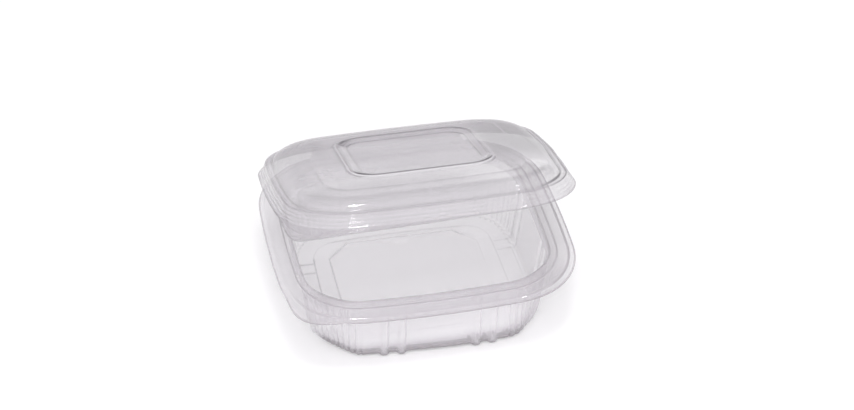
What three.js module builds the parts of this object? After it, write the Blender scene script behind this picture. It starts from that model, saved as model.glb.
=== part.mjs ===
// Clear hinged takeaway container: a square tray and its domed lid, thermoformed
// in one sheet and joined along the back by a folded strip.
// Millimetres, +Z up. Origin on the table, under the middle of the tray.
import * as THREE from 'three';

// ---- sheet -------------------------------------------------------------
const SHEET = 0.6;               // wall thickness of both shells

// ---- tray --------------------------------------------------------------
const TRAY_HALF_X = 70.0;        // trim edge of the tray's brim, half width
const TRAY_HALF_Y = 63.84;       // half depth
const BRIM_WIDTH = 11.56;        // from the trim edge in to the top of the wall
const BRIM_EDGE_Z = 34.0;        // trim edge above the table
const BRIM_TOP_Z = 35.9;         // highest line of the tray, where the wall begins
const MOUTH_CORNER_R = 25.9;     // plan radius of the wall's corners
const SIDE_BOW_R = 507.0;        // the four sides bow outwards on this radius
const FOOT_INSET = 4.5;          // the wall leans in by this much at the foot
const FOOT_CORNER_INSET = -0.6;  // extra at the corners, which are squarer low down
const TAB_CORNER_INSET = 3.2;    // the same under the lifting corner
const FLOOR_EDGE_INSET = 13.8;   // foot ring's inner edge, from the mouth's outline
const FLOOR_RISE = 0.9;          // floor stands this much above the foot ring
const PANEL_HALF_X = 36.74;      // eight-sided panel pressed into the floor
const PANEL_HALF_Y = 34.74;
const PANEL_CHAMFER = 10.5;
const PANEL_STEP = 0.4;
const RIB_CENTRES = [17.4, 25.2];// two ribs at each side of every wall's middle
const RIB_HALF = 2.0;            // half width at the rib's root
const RIB_CREST = 0.9;           // half width at its crest
const RIB_HEIGHT = 1.1;
const FLUTE_DEPTH = 0.45;        // pleats round the corners, to each side of the wall
const CORNER_STEPS = 20;         // two steps to a pleat
const BEVEL_RISE = 1.5;          // bevel under the plain middle of each wall
const TRAY_TAB = 5.6;            // the brim's lifting corner, front left

// ---- lid ---------------------------------------------------------------
const LID_GAP = 2.3;             // lid's lip over the tray's trim edge when shut
const LID_HALF_X = 69.42;
const LID_HALF_Y = 64.88;
const LID_BACK_DEPTH = 0.965;    // the half behind the middle is this much shallower
const LID_RIM_WIDTH = 7.36;      // from the lip in to the foot of the dome
const LID_SKIRT = 5.81;          // lip up to the rim
const RIM_FLAT = 3.66;           // flat ring on top of the skirt
const DOME_CORNER_R = 27.2;
const LID_BOW_R = 512.0;
const DOME_RISE = 6.6;           // rim up to the top face
const TOP_INSET_FRONT = 11.8;    // dome's foot in to the top face
const TOP_INSET_BACK = 18.0;
const TOP_INSET_SIDE = 14.5;
const FRAME_CENTRE = [0.8, 0.6];
const FRAME_OUTER = [34.6, 33.2, 14.0];  // half width, half depth, corner radius
const FRAME_CREST = [32.3, 30.4, 12.0];
const FRAME_INNER = [28.5, 26.2, 8.5];
const FRAME_HEIGHT = 0.8;
const FRAME_DROP = 0.55;         // panel inside the frame lies below the top face
const LID_TAB_POWER = 10;        // how square the lid's lifting corner is
const LID_TAB_REACH = [34.2, 38.3, 2.6]; // its reach from the dome corner's centre
const LIP_SLANT = 0.085;         // the front lip stands further out towards that corner

// ---- hinge -------------------------------------------------------------
const CREASE_Y = TRAY_HALF_Y + 5.5;      // fold line behind the tray
const CREASE_Z = BRIM_EDGE_Z + 1.8;
const CREASE_GAP = 0.45;         // each strip stops this short of the fold line
const STRIP_HALF = 38.0;         // half length of the strip
const OPEN_DEG = 20.2;           // the lid stands this far open

// Stations round a bowed rectangle with round corners, counter-clockwise from +X.
// Each holds its point, its outward normal, how far round the corner it is
// (0 to 1, or null on a side) and the distance from the side's middle.
function outline(halfX, halfY, bowR, cornerR, sideStops, cornerSteps) {
  const c1 = [0, halfY - bowR], c2 = [halfX - bowR, 0], r = bowR - cornerR;
  const dx = c2[0] - c1[0], dy = c2[1] - c1[1], d = Math.hypot(dx, dy);
  const h = Math.sqrt(r * r - d * d / 4);
  let cx = (c1[0] + c2[0]) / 2 - h * dy / d, cy = (c1[1] + c2[1]) / 2 + h * dx / d;
  if (cx + cy < 0) { cx = (c1[0] + c2[0]) / 2 + h * dy / d; cy = (c1[1] + c2[1]) / 2 - h * dx / d; }
  const a1 = Math.atan2(cy, cx - c2[0]), a2 = Math.atan2(cy - c1[1], cx);
  const quarter = [];
  for (const s of sideStops) {
    const a = Math.asin(s / bowR);
    quarter.push({ x: c2[0] + bowR * Math.cos(a), y: s, nx: Math.cos(a), ny: Math.sin(a), corner: null, step: -1, s });
  }
  for (let k = 0; k <= cornerSteps; k++) {
    const a = a1 + (a2 - a1) * k / cornerSteps;
    quarter.push({ x: cx + cornerR * Math.cos(a), y: cy + cornerR * Math.sin(a), nx: Math.cos(a), ny: Math.sin(a), corner: k / cornerSteps, step: k, s: 99 });
  }
  for (const s of [...sideStops].reverse().slice(0, -1)) {
    const a = Math.acos(s / bowR);
    quarter.push({ x: s, y: c1[1] + bowR * Math.sin(a), nx: Math.cos(a), ny: Math.sin(a), corner: null, step: -1, s });
  }
  // quarter runs from the +X side's middle up to just before the +Y side's middle
  const back = { x: 0, y: halfY, nx: 0, ny: 1, corner: null, step: -1, s: 0 };
  const first = [...quarter, back];
  const flip = (p, sx, sy, q) => ({ ...p, x: p.x * sx, y: p.y * sy, nx: p.nx * sx, ny: p.ny * sy, q });
  const out = [];
  first.forEach(p => out.push(flip(p, 1, 1, 0)));
  [...first].reverse().slice(1).forEach(p => out.push(flip(p, -1, 1, 1)));
  first.slice(1).forEach(p => out.push(flip(p, -1, -1, 2)));
  [...first].reverse().slice(1, -1).forEach(p => out.push(flip(p, 1, -1, 3)));
  return out;
}

// Push every station out along its normal by e(station); z is a number or function.
function ring(stations, e, z) {
  return stations.map(p => {
    const d = typeof e === 'function' ? e(p) : e;
    const h = typeof z === 'function' ? z(p) : z;
    return [p.x + p.nx * d, p.y + p.ny * d, h];
  });
}

// A plain rounded rectangle with the same number of stations as an outline.
function matchingRect(stations, [halfX, halfY, r], z) {
  const sideEnd = { x: 0, y: 0 };
  for (const p of stations) if (p.corner === null) {
    if (Math.abs(p.nx) > Math.abs(p.ny)) sideEnd.y = Math.max(sideEnd.y, p.s);
    else sideEnd.x = Math.max(sideEnd.x, p.s);
  }
  const step = 1.06;
  return stations.map(p => {
    const sx = Math.sign(p.x) || 1, sy = Math.sign(p.y) || 1;
    if (p.corner !== null) {
      const a = p.corner * Math.PI / 2;
      return [sx * (halfX - r + r * Math.cos(a)), sy * (halfY - r + r * Math.sin(a)), z];
    }
    if (Math.abs(p.nx) > Math.abs(p.ny)) return [sx * halfX, sy * (halfY - r) * p.s / (sideEnd.y * step), z];
    return [sx * (halfX - r) * p.s / (sideEnd.x * step), sy * halfY, z];
  });
}

// An eight-sided loop with the same number of stations.
function matchingOctagon(stations, halfX, halfY, cut, z) {
  const ends = { x: 0, y: 0 };
  for (const p of stations) if (p.corner === null) {
    if (Math.abs(p.nx) > Math.abs(p.ny)) ends.y = Math.max(ends.y, p.s);
    else ends.x = Math.max(ends.x, p.s);
  }
  const step = 1.06;
  return stations.map(p => {
    const sx = Math.sign(p.x) || 1, sy = Math.sign(p.y) || 1;
    if (p.corner !== null) return [sx * (halfX - cut * p.corner), sy * (halfY - cut * (1 - p.corner)), z];
    if (Math.abs(p.nx) > Math.abs(p.ny)) return [sx * halfX, sy * (halfY - cut) * p.s / (ends.y * step), z];
    return [sx * (halfX - cut) * p.s / (ends.x * step), sy * halfY, z];
  });
}

// Closed sheet: the loops run from the trim edge to the middle, the face they
// make looks outwards, and the other face lies one sheet thickness behind it.
function sheetBody(loops, centre, up) {
  const pts = [], start = [];
  loops.forEach(l => { start.push(pts.length); l.forEach(p => pts.push(new THREE.Vector3(...p))); });
  const mid = pts.length;
  pts.push(new THREE.Vector3(...centre));
  const tris = [];
  const add = (a, b, c) => tris.push(up ? [a, b, c] : [a, c, b]);
  for (let k = 0; k + 1 < loops.length; k++) {
    const m = loops[k].length, n = loops[k + 1].length, A = start[k], B = start[k + 1];
    if (m === n) {
      for (let i = 0; i < n; i++) {
        const j = (i + 1) % n;
        add(A + i, A + j, B + j); add(A + i, B + j, B + i);
      }
    } else if (n === 2 * m) {
      for (let i = 0; i < m; i++) {
        const j = (i + 1) % m, f = 2 * i, g = (2 * i + 2) % n;
        add(A + i, B + f + 1, B + f); add(A + i, A + j, B + f + 1); add(A + j, B + g, B + f + 1);
      }
    } else {
      for (let i = 0; i < n; i++) {
        const j = (i + 1) % n, f = 2 * i, g = (2 * i + 2) % m;
        add(A + f, A + f + 1, B + i); add(A + f + 1, B + j, B + i); add(A + f + 1, A + g, B + j);
      }
    }
  }
  const last = loops.length - 1, n = loops[last].length;
  for (let i = 0; i < n; i++) add(start[last] + i, start[last] + (i + 1) % n, mid);
  const normals = pts.map(() => new THREE.Vector3());
  const u = new THREE.Vector3(), v = new THREE.Vector3();
  for (const [a, b, c] of tris) {
    u.subVectors(pts[b], pts[a]); v.subVectors(pts[c], pts[a]); u.cross(v);
    normals[a].add(u); normals[b].add(u); normals[c].add(u);
  }
  const total = pts.length;
  const position = new Float32Array(total * 6);
  pts.forEach((p, i) => {
    normals[i].normalize();
    position.set([p.x, p.y, p.z], i * 3);
    position.set([p.x - normals[i].x * SHEET, p.y - normals[i].y * SHEET, p.z - normals[i].z * SHEET], (total + i) * 3);
  });
  const index = [];
  for (const [a, b, c] of tris) index.push(a, b, c, total + a, total + c, total + b);
  const m = loops[0].length;
  for (let i = 0; i < m; i++) {
    const j = (i + 1) % m;
    if (up) index.push(i, total + i, total + j, i, total + j, j);
    else index.push(i, total + j, total + i, i, j, total + j);
  }
  const g = new THREE.BufferGeometry();
  g.setAttribute('position', new THREE.BufferAttribute(position, 3));
  g.setIndex(index);
  return g;
}

// The back of the trim loop runs out straight to the fold line.
function withStrip(loop, stations, z) {
  return loop.map((p, i) => {
    const s = stations[i];
    if (s.y > 0 && s.ny > 0.5 && Math.abs(p[0]) <= STRIP_HALF) return [p[0], CREASE_Y - CREASE_GAP, z];
    return p;
  });
}

const evenOnes = list => list.filter((_, i) => i % 2 === 0);

// ---- tray --------------------------------------------------------------
const ribStops = [0, 13.4];
for (const c of RIB_CENTRES) ribStops.push(c - RIB_HALF, c - RIB_CREST, c + RIB_CREST, c + RIB_HALF);
const mouth = outline(TRAY_HALF_X - BRIM_WIDTH, TRAY_HALF_Y - BRIM_WIDTH, SIDE_BOW_R, MOUTH_CORNER_R, ribStops, CORNER_STEPS);
const mouthCoarse = evenOnes(mouth);

const ribAt = p => p.corner === null && RIB_CENTRES.some(c => Math.abs(p.s - c) <= RIB_CREST + 0.01) ? RIB_HEIGHT : 0;
const fluteAt = p => (p.step <= 0 || p.step >= CORNER_STEPS) ? 0 : (p.step % 2 ? -FLUTE_DEPTH : FLUTE_DEPTH);
const cornerIn = p => p.corner === null ? 0 : (p.q === 2 ? TAB_CORNER_INSET : FOOT_CORNER_INSET) * Math.pow(Math.sin(Math.PI * p.corner), 1.5);
const plainMiddle = p => p.corner === null && p.s < 14;
const trayTab = p => p.q === 2 && p.corner !== null ? TRAY_TAB * Math.pow(Math.sin(Math.PI * p.corner), 4) : 0;

let trim = ring(mouthCoarse, p => BRIM_WIDTH + trayTab(p), BRIM_EDGE_Z);
trim = withStrip(trim, mouthCoarse, BRIM_EDGE_Z + 0.6);
const trayLoops = [
  trim,
  ring(mouthCoarse, p => 8.1 + 0.4 * trayTab(p), BRIM_EDGE_Z + 0.4),
  ring(mouthCoarse, 3.6, BRIM_TOP_Z - SHEET - 0.15),
  ring(mouth, 0, BRIM_TOP_Z - SHEET),
  ring(mouth, -0.8, BRIM_TOP_Z - 3),
  ring(mouth, p => -1.5 + ribAt(p) + fluteAt(p) - 0.15 * cornerIn(p), BRIM_TOP_Z - 9),
  ring(mouth, p => -FOOT_INSET + 0.5 + ribAt(p) + fluteAt(p) - 0.9 * cornerIn(p), 6),
  ring(mouth, p => -FOOT_INSET + ribAt(p) * 0.8 + fluteAt(p) - cornerIn(p), p => plainMiddle(p) ? BEVEL_RISE : 1.6),
  ring(mouth, p => plainMiddle(p) ? -FLOOR_EDGE_INSET + 1.5 : -FOOT_INSET - 1.0 + ribAt(p) * 1.1 + fluteAt(p) * 0.6 - cornerIn(p), 0),
  ring(mouthCoarse, p => -FLOOR_EDGE_INSET - 0.35 * cornerIn(p), 0),
  ring(mouthCoarse, p => -FLOOR_EDGE_INSET - 0.8 - 0.35 * cornerIn(p), FLOOR_RISE),
  matchingOctagon(mouthCoarse, PANEL_HALF_X, PANEL_HALF_Y, PANEL_CHAMFER, FLOOR_RISE),
  matchingOctagon(mouthCoarse, PANEL_HALF_X - 0.7, PANEL_HALF_Y - 0.7, PANEL_CHAMFER - 0.3, FLOOR_RISE - PANEL_STEP),
];
const trayGeometry = sheetBody(trayLoops, [0, 0, FLOOR_RISE - PANEL_STEP], false);

// ---- lid, drawn shut and then turned about the fold line -----------------
const LIP_Z = BRIM_EDGE_Z + LID_GAP;
const RIM_Z = LIP_Z + LID_SKIRT;
const TOP_Z = RIM_Z + DOME_RISE;
const lidStops = [0, 9, 18, 26];
const domeFoot = outline(LID_HALF_X - LID_RIM_WIDTH, LID_HALF_Y - LID_RIM_WIDTH, LID_BOW_R, DOME_CORNER_R, lidStops, 10)
  .map(p => ({ ...p, y: p.y > 0 ? p.y * LID_BACK_DEPTH : p.y }));
const lipAt = p => {
  if (p.corner === null) return LID_RIM_WIDTH + (p.ny < -0.5 ? Math.max(0, 1.1 - LIP_SLANT * p.x) : 0);
  if (p.q !== 2) return LID_RIM_WIDTH;
  const c = -p.nx, s = -p.ny, n = LID_TAB_POWER, [reachX, reachY, slant] = LID_TAB_REACH;
  const deep = reachY + slant * Math.min(1, (Math.PI / 2 - Math.atan2(s, c)) / 0.6);
  return 1 / Math.pow(Math.pow(c / reachX, n) + Math.pow(s / deep, n), 1 / n) - DOME_CORNER_R;
};
const topInset = p => TOP_INSET_SIDE * p.nx * p.nx + (p.ny < 0 ? TOP_INSET_FRONT : TOP_INSET_BACK) * p.ny * p.ny;
const framed = loop => loop.map(([x, y, z]) => [x + FRAME_CENTRE[0], y + FRAME_CENTRE[1], z]);
let lip = ring(domeFoot, lipAt, LIP_Z);
lip = withStrip(lip, domeFoot, LIP_Z + 0.3);
const lidLoops = [
  lip,
  ring(domeFoot, 6.6, LIP_Z + 0.15),
  ring(domeFoot, 5.2, LIP_Z + 2.6),
  ring(domeFoot, RIM_FLAT, RIM_Z),
  ring(domeFoot, 0, RIM_Z),
  ring(domeFoot, p => -0.10 * topInset(p), RIM_Z + 0.42 * DOME_RISE),
  ring(domeFoot, p => -0.36 * topInset(p), RIM_Z + 0.76 * DOME_RISE),
  ring(domeFoot, p => -0.70 * topInset(p), RIM_Z + 0.94 * DOME_RISE),
  ring(domeFoot, p => -topInset(p), TOP_Z),
  framed(matchingRect(domeFoot, FRAME_OUTER, TOP_Z)),
  framed(matchingRect(domeFoot, FRAME_CREST, TOP_Z + FRAME_HEIGHT)),
  framed(matchingRect(domeFoot, FRAME_INNER, TOP_Z - FRAME_DROP)),
];
const lidGeometry = sheetBody(lidLoops, [...FRAME_CENTRE, TOP_Z - FRAME_DROP], true);
lidGeometry.translate(0, -CREASE_Y, -CREASE_Z);

// ---- assembly ------------------------------------------------------------
const clear = (name, colour) => {
  const m = new THREE.MeshStandardMaterial({ color: colour, roughness: 0.08, metalness: 0, transparent: true, opacity: 0.35 });
  m.name = name;
  return m;
};
const tray = new THREE.Mesh(trayGeometry, clear('clear_tray', 0xd6d2d8));
tray.name = 'tray';
const lid = new THREE.Mesh(lidGeometry, clear('clear_lid', 0xd2ced4));
lid.name = 'lid';

const fold = new THREE.Group();
fold.name = 'fold';
fold.position.set(0, CREASE_Y, CREASE_Z);
fold.rotation.x = -OPEN_DEG * Math.PI / 180;
fold.add(lid);

const container = new THREE.Group();
container.name = 'container';
container.add(tray, fold);
// the origin goes under the middle of the whole object
const extent = new THREE.Box3().setFromObject(container, true);
container.position.set(-(extent.min.x + extent.max.x) / 2, -(extent.min.y + extent.max.y) / 2, -extent.min.z);
export default container;
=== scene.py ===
# Clear hinged takeaway container: the thermoformed tray, its domed lid and the
# folded hinge between them, modelled over the fixed frame.
import math

import bpy
import numpy as np
from mathutils import Matrix, Vector


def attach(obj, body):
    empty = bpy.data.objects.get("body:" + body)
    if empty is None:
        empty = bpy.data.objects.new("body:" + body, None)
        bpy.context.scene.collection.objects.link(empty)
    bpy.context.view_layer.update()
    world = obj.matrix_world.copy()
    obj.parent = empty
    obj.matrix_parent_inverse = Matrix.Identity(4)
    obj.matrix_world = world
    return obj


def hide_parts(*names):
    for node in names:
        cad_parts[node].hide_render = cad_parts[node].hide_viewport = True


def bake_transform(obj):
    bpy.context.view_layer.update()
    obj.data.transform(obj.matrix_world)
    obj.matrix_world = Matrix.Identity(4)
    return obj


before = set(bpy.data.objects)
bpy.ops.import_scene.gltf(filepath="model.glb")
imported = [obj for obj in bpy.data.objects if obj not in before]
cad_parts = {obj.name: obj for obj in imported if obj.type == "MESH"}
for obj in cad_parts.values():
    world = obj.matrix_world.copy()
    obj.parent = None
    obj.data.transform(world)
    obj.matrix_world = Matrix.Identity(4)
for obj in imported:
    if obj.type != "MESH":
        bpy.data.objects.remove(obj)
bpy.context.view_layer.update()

# ------------------------------------------------------------------ sizes (mm)
# The tray's own axes: origin under the middle of the tray, x right, y back, z up.
SHIFT_Y = -2.6425          # tray's axes to the frame's
SHEET = 0.42
TRAY_HX, TRAY_HY = 70.0, 63.84
BRIM_W = 11.56
EDGE_Z, BRIM_Z = 34.0, 35.9
MOUTH_R, BOW_R = 25.9, 507.0
FLOOR_E = 13.8
FLOOR_Z = 0.9
PANEL = (36.74, 34.74, 10.5)
FRONT_RIBS = (-24.4, -16.3, 19.1, 26.8)
OTHER_RIBS = (-25.2, -17.4, 17.4, 25.2)
PLEATS = 10                # per corner

LID_HX, LID_HY, LID_BACK = 69.42, 64.88, 0.965
RIM_W, RIM_FLAT = 7.36, 3.66
DOME_R, LID_BOW = 27.2, 512.0
LIP_Z = EDGE_Z + 2.3
RIM_Z = LIP_Z + 5.81
TOP_Z = RIM_Z + 6.6
TOP_IN = (11.8, 18.0, 14.5)  # front, back, sides
FRAME_C = (0.8, 0.6)
FRAME_OUT, FRAME_TOP, FRAME_IN = (34.6, 33.2, 14.0), (32.3, 30.4, 12.0), (28.5, 26.2, 8.5)

CREASE_Y, CREASE_Z = TRAY_HY + 5.5, EDGE_Z + 1.8
CREASE_GAP = 0.45
STRIP_HALF = 38.0
OPEN = math.radians(20.2)

SKY_LOW, SKY_HIGH = 0.32, 0.78   # the studio tent, at its dimmest and brightest


# ------------------------------------------------------------------ helpers
def smooth(x, a, b):
    t = np.clip((np.asarray(x, float) - a) / (b - a), 0.0, 1.0)
    return t * t * (3 - 2 * t)


class Outline:
    """Stations round a bowed rectangle with round corners, anticlockwise from +X."""

    def __init__(self, hx, hy, bow, radius, side_n, corner_n, back=1.0):
        c1, c2 = np.array([0.0, hy - bow]), np.array([hx - bow, 0.0])
        r = bow - radius
        d = np.linalg.norm(c2 - c1)
        mid = (c1 + c2) / 2
        h = math.sqrt(r * r - d * d / 4)
        dx, dy = (c2 - c1) / d
        cen = mid + h * np.array([-dy, dx])
        if cen.sum() < 0:
            cen = mid - h * np.array([-dy, dx])
        a1 = math.atan2(cen[1], cen[0] - c2[0])
        a2 = math.atan2(cen[1] - c1[1], cen[0])
        self.centre, self.a1, self.a2 = cen, a1, a2
        rows = []  # x, y, nx, ny, corner(-1 on sides), s
        y1 = c2[1] + bow * math.sin(a1)
        for i in range(side_n):
            s = y1 * i / side_n
            a = math.asin(s / bow)
            rows.append((c2[0] + bow * math.cos(a), s, math.cos(a), math.sin(a), -1.0, s))
        for k in range(corner_n + 1):
            w = k / corner_n
            a = a1 + (a2 - a1) * w
            rows.append((cen[0] + radius * math.cos(a), cen[1] + radius * math.sin(a), math.cos(a), math.sin(a), w, 99.0))
        x2 = bow * math.cos(a2)
        for i in range(side_n - 1, 0, -1):
            s = x2 * i / side_n
            a = math.acos(s / bow)
            rows.append((s, c1[1] + bow * math.sin(a), math.cos(a), math.sin(a), -1.0, s))
        rows.append((0.0, hy, 0.0, 1.0, -1.0, 0.0))
        q = np.array(rows)

        def flip(p, sx, sy, k):
            o = p.copy()
            o[:, 0] *= sx
            o[:, 2] *= sx
            o[:, 1] *= sy
            o[:, 3] *= sy
            return np.column_stack([o, np.full(len(o), float(k))])

        full = np.concatenate([flip(q, 1, 1, 0), flip(q[::-1][1:], -1, 1, 1), flip(q[1:], -1, -1, 2), flip(q[::-1][1:-1], 1, -1, 3)])
        self.x, self.y, self.nx, self.ny, self.w, self.s, self.q = full.T
        self.y = np.where(self.y > 0, self.y * back, self.y)
        self.corner = self.w >= 0
        self.n = len(self.x)
        self.side = np.where(self.corner, -1, np.where(np.abs(self.nx) > np.abs(self.ny), np.where(self.nx > 0, 0, 2), np.where(self.ny > 0, 1, 3)))
        # distance from the side's middle, with its sign
        self.along = np.where(self.side % 2 == 0, self.y, self.x)

    def ring(self, e, z):
        e = np.broadcast_to(e, self.n)
        return np.column_stack([self.x + self.nx * e, self.y + self.ny * e, np.broadcast_to(z, self.n)])

    def rect(self, size, z, centre=(0.0, 0.0)):
        hx, hy, r = size
        out = np.zeros((self.n, 3))
        ex = np.abs(self.x[self.side % 2 == 1]).max() * 1.01
        ey = np.abs(self.y[self.side == 0]).max() * 1.01
        sx, sy = np.where(self.x < 0, -1, 1), np.where(self.y < 0, -1, 1)
        a = np.clip(self.w, 0, 1) * math.pi / 2
        cx, cy = sx * (hx - r + r * np.cos(a)), sy * (hy - r + r * np.sin(a))
        on0 = (self.side == 0) | (self.side == 2)
        out[:, 0] = np.where(self.corner, cx, np.where(on0, sx * hx, (hx - r) * self.x / ex))
        out[:, 1] = np.where(self.corner, cy, np.where(on0, (hy - r) * self.y / ey, sy * hy))
        out[:, 2] = z
        out[:, 0] += centre[0]
        out[:, 1] += centre[1]
        return out

    def octagon(self, hx, hy, cut, z):
        out = np.zeros((self.n, 3))
        ex = np.abs(self.x[self.side % 2 == 1]).max() * 1.01
        ey = np.abs(self.y[self.side == 0]).max() * 1.01
        sx, sy = np.where(self.x < 0, -1, 1), np.where(self.y < 0, -1, 1)
        w = np.clip(self.w, 0, 1)
        on0 = (self.side == 0) | (self.side == 2)
        out[:, 0] = np.where(self.corner, sx * (hx - cut * w), np.where(on0, sx * hx, (hx - cut) * self.x / ex))
        out[:, 1] = np.where(self.corner, sy * (hy - cut * (1 - w)), np.where(on0, (hy - cut) * self.y / ey, sy * hy))
        out[:, 2] = z
        return out


def rounded(rows, seg=4, long=3.0, wide=0.40):
    """Loops through the rows' loops, each (loop, cut, line), with each inner bend rounded and long flats divided.
    Also each loop's line: painted shade above zero and painted highlight below it along that bend, standing in for
    the dark and bright lines that the bent sheet's reflections and refraction show."""
    ctrl = [np.asarray(r[0], float) for r in rows]
    out, line = [ctrl[0]], [np.broadcast_to(rows[0][2], len(ctrl[0]))]

    def add(p, v):
        out.append(p)
        line.append(np.broadcast_to(v, len(p)))

    def run(a, b, va, vb):
        gap = np.linalg.norm(b - a, axis=1)
        t = np.minimum(wide / (gap + 1e-9), 0.48)[:, None]
        many = gap.mean() > 2.5 * wide
        p, q = a + (b - a) * t, b + (a - b) * t
        if many:
            add(p, 0.0)
        n = int(gap.mean() / long)
        for k in range(1, n + 1):
            u = k / (n + 1)
            add(p * (1 - u) + q * u, 0.0)
        if many:
            add(q, 0.0)

    last, v = ctrl[0], rows[0][2]
    for i in range(1, len(ctrl) - 1):
        p, a, b = ctrl[i], ctrl[i - 1], ctrl[i + 1]
        la = np.linalg.norm(a - p, axis=1, keepdims=True) + 1e-9
        lb = np.linalg.norm(b - p, axis=1, keepdims=True) + 1e-9
        c = rows[i][1]
        s = p + (a - p) * np.minimum(c / la, 0.45)
        e = p + (b - p) * np.minimum(c / lb, 0.45)
        run(last, s, v, rows[i][2])
        for k in range(seg + 1):
            t = k / seg
            add(s * (1 - t) ** 2 + p * 2 * t * (1 - t) + e * t * t, rows[i][2] * (0.7 + 0.3 * math.sin(math.pi * t)))
        last, v = e, rows[i][2]
    run(last, ctrl[-1], v, rows[-1][2])
    add(ctrl[-1], rows[-1][2])
    return out, np.stack(line)


def shell(name, loops, up, centre, line, clear):
    """A sheet whose loops run from its trim edge to its middle."""
    n = len(loops[0])
    pts = np.concatenate(loops + [np.asarray([centre], float)])
    i = np.arange(n)
    j = (i + 1) % n
    faces = []
    for k in range(len(loops) - 1):
        a, b = k * n, (k + 1) * n
        quad = np.stack([a + i, a + j, b + j, b + i], 1)
        faces.append(quad if up else quad[:, ::-1])
    faces = np.concatenate(faces).tolist()
    a, m = (len(loops) - 1) * n, len(pts) - 1
    faces += [[a + p, a + q, m] if up else [a + q, a + p, m] for p, q in zip(i, j)]
    me = bpy.data.meshes.new(name)
    me.from_pydata((pts / 1000.0).tolist(), [], faces)
    me.polygons.foreach_set("use_smooth", [True] * len(me.polygons))
    me.update()
    at = me.attributes.new("line", "FLOAT", "POINT")
    at.data.foreach_set("value", np.append(np.clip(np.asarray(line, float).reshape(-1), -1, 1), 0.0))
    at = me.attributes.new("clear", "FLOAT", "POINT")
    at.data.foreach_set("value", np.append(np.asarray(clear, float).reshape(-1), np.asarray(clear)[-1, 0]))
    ob = bpy.data.objects.new(name, me)
    bpy.context.scene.collection.objects.link(ob)
    mod = ob.modifiers.new("sheet", "SOLIDIFY")
    mod.thickness = SHEET / 1000.0
    mod.offset = -1.0
    mod.use_even_offset = False
    return ob


def place(loops, turned=False):
    """From the tray's axes to the frame's; the lid is turned open about the fold line."""
    out = []
    c, s = math.cos(OPEN), math.sin(OPEN)
    for l in loops:
        l = np.asarray(l, float).reshape(-1, 3).copy()
        if turned:
            y, z = l[:, 1] - CREASE_Y, l[:, 2] - CREASE_Z
            l[:, 1], l[:, 2] = CREASE_Y + y * c + z * s, CREASE_Z - y * s + z * c
        l[:, 1] += SHIFT_Y
        out.append(l)
    return out


# ------------------------------------------------------------------ tray
M = Outline(TRAY_HX - BRIM_W, TRAY_HY - BRIM_W, BOW_R, MOUTH_R, 88, 110)


def rib_shape(o, half):
    """0 to 1 over each rib, flat-topped with soft shoulders."""
    best = np.zeros(o.n)
    for side in range(4):
        for c in FRONT_RIBS if side == 3 else OTHER_RIBS:
            d = np.abs(o.along - c)
            v = 1 - smooth(d, half * 0.30, half)
            best = np.maximum(best, np.where(o.side == side, v, 0))
    return best


RIB_WALL, RIB_FOOT = rib_shape(M, 2.3), rib_shape(M, 2.8)
phase = np.cos(math.pi * PLEATS * np.clip(M.w, 0, 1))
scallop = np.where(M.corner, 2 * np.sqrt(phase * phase + 0.015) - 1.15, 0.0)
scallop *= smooth(M.w, 0.0, 0.05) * (1 - smooth(M.w, 0.95, 1.0))
arc = np.where(M.corner, np.sin(math.pi * np.clip(M.w, 0, 1)), 0.0)
corner_in = np.where(M.q == 2, 3.2, -0.6) * arc ** 1.5
tab = np.where((M.q == 2) & M.corner, 5.6 * arc ** 4, 0.0)
side_s = np.where(M.side == 3, np.abs(M.along - 1.3), np.abs(M.along))
middle = np.where(M.corner, 0.0, 1 - smooth(side_s, 12.6, 14.2))

strip = (M.side == 1) & (np.abs(M.x) <= STRIP_HALF)


def with_strip(loop, o, z, depth):
    on = (o.y > 0) & (o.ny > 0.5) & (np.abs(loop[:, 0]) <= STRIP_HALF)
    out = loop.copy()
    t = smooth(STRIP_HALF - np.abs(loop[:, 0]), -0.01, 1.6)
    out[:, 1] = np.where(on, loop[:, 1] * (1 - t) + (CREASE_Y - CREASE_GAP) * t * depth + loop[:, 1] * t * (1 - depth), loop[:, 1])
    out[:, 2] = np.where(on, loop[:, 2] * (1 - t * depth) + z * t * depth, loop[:, 2])
    return out


lift = 0.18 * (1 - RIB_FOOT) * (1 - 0.7 * arc)
bevel = 0.10 * middle
ribw, ribf = RIB_WALL * 1.15, RIB_FOOT * 1.6
OC = M.octagon
near = smooth(-M.ny, 0.25, 0.85)
fore = smooth(-M.ny, -0.1, 0.3)
step = 0.10 + 0.42 * smooth(M.nx, 0.2, 0.8) + 0.15 * smooth(-M.nx, 0.3, 0.9)
forward = smooth(-M.ny, 0.05, 0.45) * (1 - 0.75 * smooth(M.nx, 0.25, 0.75))
foot = 0.18 + 0.82 * forward
out = 0.6 * near
behind = 1 - 0.75 * smooth(M.ny, 0.2, 0.6)
shown = 1 - 0.65 * near
bends = np.where(M.corner & (M.ny > 0), np.sin(math.pi * np.clip(M.w, 0, 1)) ** 0.5, 0.0)
soft = 1 - 0.55 * smooth(M.nx, 0.5, 0.9)     # the floor's lines are fainter along the right
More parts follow.
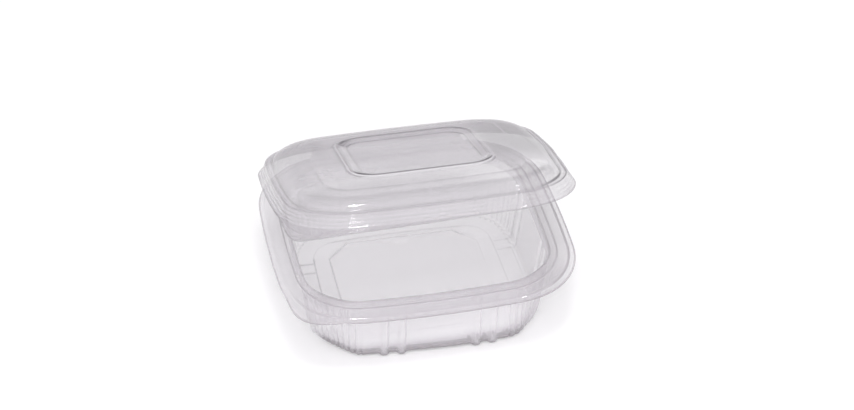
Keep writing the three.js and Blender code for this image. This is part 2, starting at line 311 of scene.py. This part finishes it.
# the foot stands out further under the right of the front, and its corner there is cut off
push = 1.5 * smooth(M.x, -30.0, 15.0) * smooth(-M.ny, 0.80, 0.98)
cut = np.where((M.q == 3) & M.corner, 1.5 * np.sin(math.pi * np.clip(M.w, 0, 1)) ** 2, 0.0)
heel = push - cut
square = np.where((M.q == 3) & M.corner, 0.9 * arc ** 1.5, 0.0)
# Each row: its loop, the rounding of its bend, and its line: painted shade above zero and painted highlight below it,
# weighted by side (step, foot, behind, shown, soft) to follow how the light and reflections fall round the tray.
T = [
    (with_strip(M.ring(BRIM_W + tab + square, EDGE_Z), M, EDGE_Z + 0.6, 1.0), 0, 0.62 * behind),
    (with_strip(M.ring(BRIM_W - 0.5 + tab + square, EDGE_Z + 0.12), M, EDGE_Z + 0.6, 0.9), 0.2, 0.40 * behind),
    (M.ring(9.3 + 0.4 * tab + 0.7 * square, EDGE_Z + 0.3), 0.35, -0.20),
    (M.ring(8.6 + 0.3 * tab + 0.6 * square, EDGE_Z + 0.75), 0.4, step * behind),
    (M.ring(4.0, EDGE_Z + 1.05), 0.35, -0.25),
    (M.ring(3.2, EDGE_Z + 1.5), 0.3, 0.45 * behind),
    (M.ring(0.9 - 1.3 * near, BRIM_Z - 0.35), 0.4, -0.22),
    (M.ring(-1.8 * near, BRIM_Z - 0.5), 0.4, 0.42 * behind),
    (M.ring(-0.9 - 1.3 * near, 31.6), 1.0, 0.10),
    (M.ring(-1.2 - 1.1 * near + 0.9 * ribw + (0.10 + 0.30 * fore) * scallop, 28.5), 2.0, 0),
    (M.ring(-2.3 - 0.4 * near + ribw + (0.18 + 0.34 * fore) * scallop - 0.4 * corner_in + 0.35 * heel, 19.0), 4.0, 0),
    (M.ring(-3.7 + ribw + 0.55 * scallop - 0.85 * corner_in + 0.8 * heel, 6.5), 2.0, 0),
    (M.ring(-4.1 + ribw + 0.55 * scallop - 0.95 * corner_in + heel, 3.4), 0.6, 0.25 * foot * (1 - 0.6 * RIB_FOOT)),
    (M.ring(-4.45 + 0.3 * out + 0.5 * (ribw + ribf) + 0.55 * scallop - corner_in + heel, 2.3 + 0.5 * bevel), 0.5, 0.66 * foot * (1 - 0.7 * RIB_FOOT)),
    (M.ring(-4.9 + 0.5 * out + 0.9 * ribf + 0.5 * scallop - corner_in + heel, 1.2 + lift + 0.7 * bevel), 0.5, 0.28 * foot * (1 - 0.7 * RIB_FOOT)),
    (M.ring(-5.9 + out + 1.0 * ribf + 0.42 * scallop - corner_in + heel, lift + bevel), 0.6, 0.84 * foot),
    (M.ring(-7.4 + 0.5 * ribf + 0.25 * scallop - corner_in + heel, 0.9 * lift + 0.85 * bevel), 0.8, 0.3 * foot),
    (M.ring(-12.3 - 0.45 * corner_in, 0.7 * lift + 0.12 * bevel), 1.0, 0),
    (M.ring(-FLOOR_E - 0.35 * corner_in, 0.5 * lift), 0.35, 0.30 * shown * soft * (1 - 0.8 * bends)),
    (M.ring(-FLOOR_E - 0.8 - 0.35 * corner_in, FLOOR_Z), 0.35, -0.35 * shown),
    (OC(PANEL[0], PANEL[1], PANEL[2], FLOOR_Z), 0.35, 0.28 * shown * soft),
    (OC(PANEL[0] - 0.8, PANEL[1] - 0.8, PANEL[2] - 0.3, FLOOR_Z - 0.4), 0.35, -0.45 * shown),
    (OC(PANEL[0] * 0.5, PANEL[1] * 0.5, PANEL[2] * 0.5, FLOOR_Z - 0.4), 1.0, 0),
    (OC(PANEL[0] * 0.1, PANEL[1] * 0.1, PANEL[2] * 0.1, FLOOR_Z - 0.4), 1.0, 0),
]
tray_loops, tray_line = rounded(T)
# painted shade and highlight up the wall: shade in the pleats' valleys and along the ribs' shoulders, highlight on
# the pleats' crests
pleated = np.where(M.corner, 1.0, 0.0) * smooth(M.w, 0.0, 0.05) * (1 - smooth(M.w, 0.95, 1.0))
valley = np.exp(-(phase / 0.30) ** 2) * pleated
crest = np.exp(-((np.abs(phase) - 1) / 0.12) ** 2) * pleated
shoulder = np.exp(-((RIB_WALL - 0.35) / 0.28) ** 2) * (RIB_WALL > 0.01)
upright = (0.08 + 0.92 * smooth(-M.ny, 0.1, 0.4)) * (0.34 * np.maximum(valley, 0.5 * shoulder) - 0.38 * crest)
wall_z = np.stack([l[:, 2] for l in tray_loops])
wall_e = np.stack([np.hypot(l[:, 0] - M.x, l[:, 1] - M.y) for l in tray_loops])
on_wall = smooth(-wall_z, -31.0, -26.0) * (wall_e < 12.0) * (1 - smooth(wall_e, 7.5, 11.5))
# painted shade in a dark band along the front of the foot, and a painted highlight up the front wall where the front
# lamp lights it
band = 0.52 * smooth(-wall_z, -8.5, -0.5) * forward[None, :] * (1 - 0.55 * RIB_FOOT)[None, :] * (wall_e < 9.0)
bright = 0.30 * smooth(wall_z, 7.0, 11.0) * (1 - smooth(wall_z, 18.0, 27.0)) * near[None, :] * (wall_e < 9.0)
tray_line = tray_line + on_wall * upright[None, :] - bright
tray_line = np.maximum(tray_line, band)
# painted shade: the brim, most along the front and the right, and the right wall are drawn a shade darker; the floor
# is drawn thinnest
flat = wall_z > 33.5
side_r, side_l = smooth(M.nx, 0.3, 0.8)[None, :], smooth(-M.nx, 0.3, 0.8)[None, :]
right = smooth(M.nx, -0.1, 0.9)[None, :]
tone = 0.10 + 0.24 * near[None, :] * (1 - 0.5 * right) + 0.15 * right * (1 - smooth(wall_e, 8.8, 9.6)) + 0.10 * right + 0.10 * side_l * (1 - smooth(wall_e, 4.6, 5.6))
tone = np.where(flat, tone * (1 - 0.6 * smooth(tray_line, 0.12, 0.30)), 0.04 * side_r * (wall_z > 4.0))
tray_line = tray_line + tone
inner = smooth(wall_e, 6.0, FLOOR_E) * (wall_z < 3.5)
away = smooth(M.ny, -0.45, 0.15)[None, :]
inner = np.maximum(0.64 * inner, np.where((wall_z < 1.5) & (wall_e < 22.0), 0.75, 0.60) * away * (wall_z < 31.0) * (wall_e < 22.0))
# painted shade: a dark line along the front of each rib's foot
sole = (wall_z < 3.2) & (wall_e > 5.5) & (wall_e < FLOOR_E - 0.6)
for side, k in ((0, 0.16), (2, 0.30)):
    for c in OTHER_RIBS:
        d = M.along - c - (0.9 if abs(c) < 20 else 0.0)
        rib_foot_shade = k * np.exp(-((d + 1.5) / 0.6) ** 2)
        tray_line = tray_line + np.where(sole & (M.side == side)[None, :], rib_foot_shade[None, :], 0.0)
tray = shell("tray_shell", place(tray_loops), False, place([[0, 0, FLOOR_Z - 0.4]])[0][0], tray_line, inner)
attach(tray, "base")
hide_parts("tray")

# ------------------------------------------------------------------ lid
D = Outline(LID_HX - RIM_W, LID_HY - RIM_W, LID_BOW, DOME_R, 60, 72, back=LID_BACK)


def lip_reach(o):
    e = np.full(o.n, RIM_W)
    e = np.where(~o.corner & (o.ny < -0.5), RIM_W + np.maximum(0, 1.1 - 0.085 * o.x), e)
    c, s = np.maximum(-o.nx, 1e-4), np.maximum(-o.ny, 1e-4)
    deep = 38.3 + 2.6 * np.minimum(1, (math.pi / 2 - np.arctan2(s, c)) / 0.6)
    n = 10
    r = 1 / ((c / 34.2) ** n + (s / deep) ** n) ** (1 / n) - DOME_R
    return np.where(o.corner & (o.q == 2), r, e)


lip_e = lip_reach(D)
ns = D.nx ** 2
inset = TOP_IN[2] * ns + np.where(D.ny < 0, TOP_IN[0], TOP_IN[1]) * (1 - ns)
RISE = TOP_Z - RIM_Z
def frame_loop(size, grow, z):
    return D.rect((size[0] + grow, size[1] + grow, size[2] + 0.6 * grow), z, FRAME_C)


FRAME_MID = tuple(0.5 * (a + b) for a, b in zip(FRAME_OUT, FRAME_TOP))
here = smooth(-D.ny, 0.2, 0.7)
there = smooth(D.ny, 0.2, 0.7)
left, rightward = smooth(-D.nx, 0.3, 0.8), smooth(D.nx, 0.3, 0.8)
dim = 1 - 0.85 * there
bulge = 1.4 * smooth(D.nx, 0.5, 0.9) * smooth(D.y, -25.0, 5.0)
# Each row's last value is painted shade above zero and painted highlight below it along that bend, stronger or
# fainter by side (here, there, left, rightward, dim) to follow how the light and reflections fall round the lid.
L = [
    (with_strip(D.ring(lip_e + bulge, LIP_Z), D, LIP_Z + 0.3, 1.0), 0, 0.50 * dim),
    (with_strip(D.ring(lip_e + bulge - 0.5, LIP_Z + 0.1), D, LIP_Z + 0.3, 0.85), 0.2, 0.30 * dim),
    (D.ring(6.6 + bulge, LIP_Z + 0.22), 0.35, 0.10 * dim),
    (D.ring(6.15 + bulge, LIP_Z + 0.9), 0.3, -0.30 * dim),
    (D.ring(5.55 + bulge, LIP_Z + 1.15), 0.25, 0.16 * dim),
    (D.ring(5.25 + bulge, LIP_Z + 2.3), 0.3, -0.30 * dim),
    (D.ring(4.75 + bulge, LIP_Z + 2.55), 0.25, 0.18 * dim),
    (D.ring(4.45 + bulge, LIP_Z + 3.9), 0.3, -0.25 * dim),
    (D.ring(4.1 + bulge, LIP_Z + 4.1), 0.25, 0.12 * dim),
    (D.ring(3.85 + bulge, RIM_Z - 0.35), 0.3, 0.10 * dim),
    (D.ring(3.3 + bulge, RIM_Z), 0.4, (0.32 + 0.36 * rightward - 0.06 * left) * dim),
    (D.ring(1.8 + bulge, RIM_Z + 0.02), 0.3, -0.15 * dim),
    (D.ring(0.35 + bulge, RIM_Z), 0.5, (0.34 + 0.42 * rightward - 0.04 * left) * dim),
    (D.ring(0.9 * bulge - 0.04 * inset, RIM_Z + 0.24 * RISE), 0.6, 0.10 * dim),
    (D.ring(0.7 * bulge - 0.12 * inset, RIM_Z + 0.45 * RISE), 1.2, 0.22 * here + 0.16 * rightward),
    (D.ring(0.3 * bulge - 0.36 * inset, RIM_Z + 0.745 * RISE), 3.0, 0.26 * here + 0.42 * there + 0.10 * rightward),
    (D.ring(-0.70 * inset, RIM_Z + 0.90 * RISE), 2.0, 0.45 * there - 0.16 * here * (1 - rightward) + 0.30 * rightward * (D.y > -20)),
    (D.ring(-0.975 * inset, RIM_Z + 0.955 * RISE), 0.5, np.maximum(0.42 * here * (1 - 0.7 * rightward), np.maximum(0.48 * rightward * (D.y > -20), 0.35 * there))),
    (D.ring(-1.02 * inset, TOP_Z), 0.3, -0.20 * here * (1 - rightward)),
    (frame_loop(FRAME_OUT, -0.5, TOP_Z), 0.6, 0.10 * here + 0.46 * left + 0.24 * rightward + 0.25 * there),
    (frame_loop(FRAME_MID, 0.0, TOP_Z + 0.42), 0.4, -0.55 * here - 0.10 * left - 0.10 * rightward + 0.20 * there),
    (frame_loop(FRAME_TOP, 0.5, TOP_Z + 0.8), 0.5, 0.85 * here + 0.34 * left + 0.12 * rightward + 0.62 * there),
    (frame_loop(FRAME_TOP, -0.7, TOP_Z + 0.75), 0.5, 0.90 * here + 0.30 * left + 0.10 * rightward + 0.62 * there),
    (frame_loop(FRAME_TOP, -1.9, TOP_Z + 0.25), 0.5, 0.30 * here + 0.18 * left - 0.15 * rightward + 0.10 * there),
    (frame_loop(FRAME_IN, 0.5, TOP_Z - 0.35), 0.5, 0.06 * left - 0.15 * rightward),
    (frame_loop(FRAME_IN, -0.4, TOP_Z - 0.55), 0.5, 0.38 * left + 0.24 * rightward + 0.28 * there),
    (D.rect((FRAME_IN[0] * 0.5, FRAME_IN[1] * 0.5, FRAME_IN[2] * 0.5), TOP_Z - 0.5, FRAME_C), 2.0, 0),
    (D.rect((FRAME_IN[0] * 0.1, FRAME_IN[1] * 0.1, FRAME_IN[2] * 0.1), TOP_Z - 0.45, FRAME_C), 1.0, 0),
]
lid_loops, lid_line = rounded(L)
# the lid's film is thinnest over the front of its top and its shoulder
lid_y = np.stack([l[:, 1] for l in lid_loops])
lid_z = np.stack([l[:, 2] for l in lid_loops])
lid_x = np.stack([l[:, 0] for l in lid_loops])
lid_clear = 0.04 + 0.13 * smooth(-lid_y, -30.0, -15.0) + 0.22 * smooth(-lid_y, 27.0, 34.0) * (lid_z > RIM_Z + 4.6) + 0.14 * smooth(-lid_y, 27.0, 34.0) * smooth(lid_x, 10.0, 35.0)
# and painted shade, a shade darker to the right and the back corners, with a soft dark band along the front of the
# dome standing in for the dim reflections there
deeper = 0.40 * smooth(lid_x, 31.0, 38.0) * smooth(lid_y, -32.0, -8.0) * (1 - 0.7 * smooth(lid_y, 20.0, 38.0)) + 0.24 * smooth(-lid_x, 34.0, 42.0) * smooth(lid_y, -5.0, 20.0) * (1 - 0.7 * smooth(lid_y, 26.0, 40.0))
depth = np.stack([np.hypot(l[:, 0] - D.x, l[:, 1] - D.y) for l in lid_loops]) / inset[None, :]
deeper = (deeper + 0.10 * smooth(lid_x, 44.0, 50.0) * smooth(lid_y, -32.0, -8.0)) * (lid_z > RIM_Z + 0.1) + 0.24 * np.exp(-((depth - 0.36) / 0.16) ** 2) * here[None, :] * (lid_z > RIM_Z + 2.0)
lid_line = lid_line + deeper * (1 - 0.6 * smooth(lid_line, 0.12, 0.30))
lid = shell("lid_shell", place(lid_loops, True), True, place([[FRAME_C[0], FRAME_C[1], TOP_Z - 0.45]], True)[0][0], lid_line, lid_clear)
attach(lid, "cover")
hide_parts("lid")

# ------------------------------------------------------------------ hinge web
W = []
cols = 61
for k in range(25):
    t = k / 24
    ang = math.radians(-122 + (111.8 + 122) * t)
    rad = 1.02 - 0.30 * t
    y, z = rad * math.cos(ang), rad * math.sin(ang)
    xs = np.linspace(-STRIP_HALF + 1.2, STRIP_HALF - 1.2, cols)
    W.append(np.column_stack([xs, np.full(cols, CREASE_Y + y + SHIFT_Y), np.full(cols, CREASE_Z + z)]))
pts = np.concatenate(W)
faces = [[k * cols + i, k * cols + i + 1, (k + 1) * cols + i + 1, (k + 1) * cols + i] for k in range(24) for i in range(cols - 1)]
me = bpy.data.meshes.new("hinge_web")
me.from_pydata((pts / 1000).tolist(), [], faces)
me.polygons.foreach_set("use_smooth", [True] * len(me.polygons))
me.update()
web = bpy.data.objects.new("hinge_web", me)
bpy.context.scene.collection.objects.link(web)
mod = web.modifiers.new("sheet", "SOLIDIFY")
mod.thickness = 0.3 / 1000
mod.offset = -1.0
deps = bpy.context.evaluated_depsgraph_get()
final = bpy.data.meshes.new_from_object(web.evaluated_get(deps))
web.modifiers.clear()
web.data = final
final.name = "hinge_web"


# ------------------------------------------------------------------ material
def clear_sheet(name, low, high, painted_shade, painted_highlight, thin, edge, power, rough, ior):
    """Thin clear plastic: the film shows what is behind it, and is denser where it turns away. Its colour mixes in
    painted shade along the line attribute's dark marks and where the sheet turns away, and painted highlight along
    its pale marks.
    """
    m = bpy.data.materials.new(name)
    m.use_nodes = True
    nt = m.node_tree
    nt.nodes.clear()
    out = nt.nodes.new("ShaderNodeOutputMaterial")
    b = nt.nodes.new("ShaderNodeBsdfPrincipled")
    nt.links.new(b.outputs["BSDF"], out.inputs["Surface"])
    b.inputs["IOR"].default_value = ior
    tc = nt.nodes.new("ShaderNodeTexCoord")

    def noise(scale, detail):
        n = nt.nodes.new("ShaderNodeTexNoise")
        n.inputs["Scale"].default_value = scale
        n.inputs["Detail"].default_value = detail
        nt.links.new(tc.outputs["Object"], n.inputs["Vector"])
        return n.outputs["Fac"]

    def ranged(value, lo, hi, a=0.0, b=1.0):
        n = nt.nodes.new("ShaderNodeMapRange")
        n.inputs["From Min"].default_value, n.inputs["From Max"].default_value = a, b
        n.inputs["To Min"].default_value, n.inputs["To Max"].default_value = lo, hi
        nt.links.new(value, n.inputs["Value"])
        return n.outputs["Result"]

    at = nt.nodes.new("ShaderNodeAttribute")
    at.attribute_name = "line"
    line = at.outputs["Fac"]
    ramp = nt.nodes.new("ShaderNodeValToRGB")
    ramp.color_ramp.elements[0].position, ramp.color_ramp.elements[1].position = 0.3, 0.7
    ramp.color_ramp.elements[0].color = (*low, 1)
    ramp.color_ramp.elements[1].color = (*high, 1)
    nt.links.new(noise(38.0, 3.0), ramp.inputs["Fac"])
    lw = nt.nodes.new("ShaderNodeLayerWeight")
    lw.inputs["Blend"].default_value = 0.5
    turned = ranged(lw.outputs["Facing"], 0.0, 0.65, 0.84, 1.0)

    def larger(x, y):
        n = nt.nodes.new("ShaderNodeMath")
        n.operation = "MAXIMUM"
        nt.links.new(x, n.inputs[0])
        nt.links.new(y, n.inputs[1])
        return n.outputs["Value"]

    # deep: how much painted shade goes into the colour; pale: how much painted highlight
    deep, pale = larger(ranged(line, 0.0, 1.0), turned), ranged(line, 0.0, 1.0, 0.0, -1.0)
    colour = ramp.outputs["Color"]
    for amount, tone in ((deep, painted_shade), (pale, painted_highlight)):
        mix = nt.nodes.new("ShaderNodeMix")
        mix.data_type = "RGBA"
        mix.inputs["B"].default_value = (*tone, 1)
        nt.links.new(colour, mix.inputs["A"])
        nt.links.new(amount, mix.inputs["Factor"])
        colour = mix.outputs["Result"]
    nt.links.new(colour, b.inputs["Base Color"])
    nt.links.new(ranged(noise(90.0, 4.0), *rough), b.inputs["Roughness"])
    bump = nt.nodes.new("ShaderNodeBump")
    bump.inputs["Strength"].default_value = 0.25
    bump.inputs["Distance"].default_value = 0.00025
    nt.links.new(noise(130.0, 2.0), bump.inputs["Height"])
    nt.links.new(bump.outputs["Normal"], b.inputs["Normal"])
    pw = nt.nodes.new("ShaderNodeMath")
    pw.operation = "POWER"
    pw.inputs[1].default_value = power
    nt.links.new(lw.outputs["Facing"], pw.inputs[0])
    full = ranged(pw.outputs["Value"], thin, edge)
    at = nt.nodes.new("ShaderNodeAttribute")
    at.attribute_name = "clear"
    less = nt.nodes.new("ShaderNodeMath")
    less.operation = "MULTIPLY"
    nt.links.new(full, less.inputs[0])
    nt.links.new(ranged(at.outputs["Fac"], 1.0, 0.0), less.inputs[1])
    seen = less.outputs["Value"]
    seen = larger(larger(seen, deep), pale)
    nt.links.new(seen, b.inputs["Alpha"])
    return m


# One clear plastic for both; the lid's haze tint and lines are set darker than the tray's, painted shade for the lid
# taking less light than the tray's inside
TRAY_LOOK = dict(low=(0.79, 0.765, 0.80), high=(0.85, 0.825, 0.86), painted_shade=(0.16, 0.13, 0.15), painted_highlight=(0.97, 0.96, 0.98), thin=0.24, edge=0.88, power=2.5, rough=(0.04, 0.10), ior=2.1)
LID_LOOK = dict(low=(0.54, 0.515, 0.545), high=(0.60, 0.575, 0.605), painted_shade=(0.10, 0.09, 0.105), painted_highlight=(0.92, 0.91, 0.93), thin=0.42, edge=0.88, power=2.5, rough=(0.04, 0.10), ior=2.1)
tray_mat = clear_sheet("clear_tray", **TRAY_LOOK)
lid_mat = clear_sheet("clear_lid", **LID_LOOK)
tray.data.materials.append(tray_mat)
lid.data.materials.append(lid_mat)
web.data.materials.clear()
web.data.materials.append(tray_mat)
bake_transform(web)

# ------------------------------------------------------------------ stage
fm = bpy.data.meshes.new("floor")
fm.from_pydata([(-6, -6, 0), (6, -6, 0), (6, 6, 0), (-6, 6, 0)], [], [(0, 1, 2, 3)])
floor = bpy.data.objects.new("floor", fm)
floor.location.z = -0.0002
bpy.context.scene.collection.objects.link(floor)
fmat = bpy.data.materials.new("floor_pale")
fmat.use_nodes = True
fb = fmat.node_tree.nodes["Principled BSDF"]
fn = fmat.node_tree.nodes.new("ShaderNodeTexNoise")
fn.inputs["Scale"].default_value = 3.0
fr = fmat.node_tree.nodes.new("ShaderNodeValToRGB")
fr.color_ramp.elements[0].color = (0.955, 0.955, 0.955, 1)
fr.color_ramp.elements[1].color = (0.975, 0.975, 0.975, 1)
fmat.node_tree.links.new(fn.outputs["Fac"], fr.inputs["Fac"])
fmat.node_tree.links.new(fr.outputs["Color"], fb.inputs["Base Color"])
fb.inputs["Roughness"].default_value = 0.9
fb.inputs["Emission Color"].default_value = (1.0, 1.0, 1.0, 1.0)
fb.inputs["Emission Strength"].default_value = 0.015
fb.inputs["Specular IOR Level"].default_value = 0.1
fm.materials.append(fmat)

world = bpy.data.worlds.new("studio")
bpy.context.scene.world = world
world.use_nodes = True
wn = world.node_tree
bg = wn.nodes["Background"]
wc = wn.nodes.new("ShaderNodeTexCoord")
sep = wn.nodes.new("ShaderNodeSeparateXYZ")
wn.links.new(wc.outputs["Generated"], sep.inputs["Vector"])


def sky(value, a, b, lo, hi):
    n = wn.nodes.new("ShaderNodeMapRange")
    n.interpolation_type = "SMOOTHSTEP"
    n.inputs["From Min"].default_value, n.inputs["From Max"].default_value = a, b
    n.inputs["To Min"].default_value, n.inputs["To Max"].default_value = lo, hi
    wn.links.new(value, n.inputs["Value"])
    return n.outputs["Result"]


def both(kind, x, y):
    n = wn.nodes.new("ShaderNodeMath")
    n.operation = kind
    wn.links.new(x, n.inputs[0])
    wn.links.new(y, n.inputs[1])
    return n.outputs["Value"]


# a soft tent: bright overhead and in front, dimmer round the sides and behind
high = sky(sep.outputs["Z"], 0.10, 0.75, 0.0, 1.0)
front = sky(sep.outputs["Y"], -0.95, 0.15, 0.75, 0.0)
level = both("MAXIMUM", high, front)
tone = sky(level, 0.0, 1.0, SKY_LOW, SKY_HIGH)
wn.links.new(tone, bg.inputs["Strength"])
bg.inputs["Color"].default_value = (0.99, 0.975, 1.0, 1)


def area(name, loc, aim, size, power, colour=(1, 1, 1)):
    li = bpy.data.lights.new(name, "AREA")
    li.shape = "RECTANGLE"
    li.size, li.size_y = size
    li.energy = power
    li.color = colour
    ob = bpy.data.objects.new(name, li)
    ob.location = loc
    ob.rotation_euler = (Vector(aim) - Vector(loc)).to_track_quat("-Z", "Y").to_euler()
    bpy.context.scene.collection.objects.link(ob)
    return ob


area("key", (-0.14, -0.47, 1.6), (0, 0, 0.04), (0.34, 0.26), 7.0)
area("spark", (0.60, -0.40, 1.45), (0, 0, 0.04), (0.12, 0.12), 1.0)
front = area("front", (-0.4, -1.9, 1.25), (0, 0, 0.04), (1.8, 1.3), 22.0)
front.visible_glossy = False

# ------------------------------------------------------------------ camera
az, el, roll, dist = math.radians(-13.08), math.radians(38.01), math.radians(1.0), 0.98848
target = Vector((0.00571, -0.0026425, 0.04638))
back = Vector((math.sin(az) * math.cos(el), -math.cos(az) * math.cos(el), math.sin(el)))
fwd = -back
right = fwd.cross(Vector((0, 0, 1))).normalized()
up = right.cross(fwd)
r2 = right * math.cos(roll) + up * math.sin(roll)
u2 = -right * math.sin(roll) + up * math.cos(roll)
cam_data = bpy.data.cameras.new("camera")
cam = bpy.data.objects.new("camera", cam_data)
bpy.context.scene.collection.objects.link(cam)
rot = Matrix((r2, u2, back)).transposed().to_4x4()
cam.matrix_world = Matrix.Translation(target + back * dist) @ rot
cam_data.sensor_fit = "HORIZONTAL"
cam_data.sensor_width = 36.0
cam_data.lens = 36.0 * 2120.8 / 854.0
cam_data.clip_end = 50
bpy.context.scene.camera = cam

sc = bpy.context.scene
sc.view_settings.view_transform = "Standard"
sc.cycles.max_bounces = 24
sc.cycles.transmission_bounces = 24
sc.cycles.transparent_max_bounces = 48
sc.cycles.glossy_bounces = 8
sc.cycles.diffuse_bounces = 4
sc.cycles.blur_glossy = 0.3
sc.cycles.use_denoising = True

bpy.context.view_layer.update()
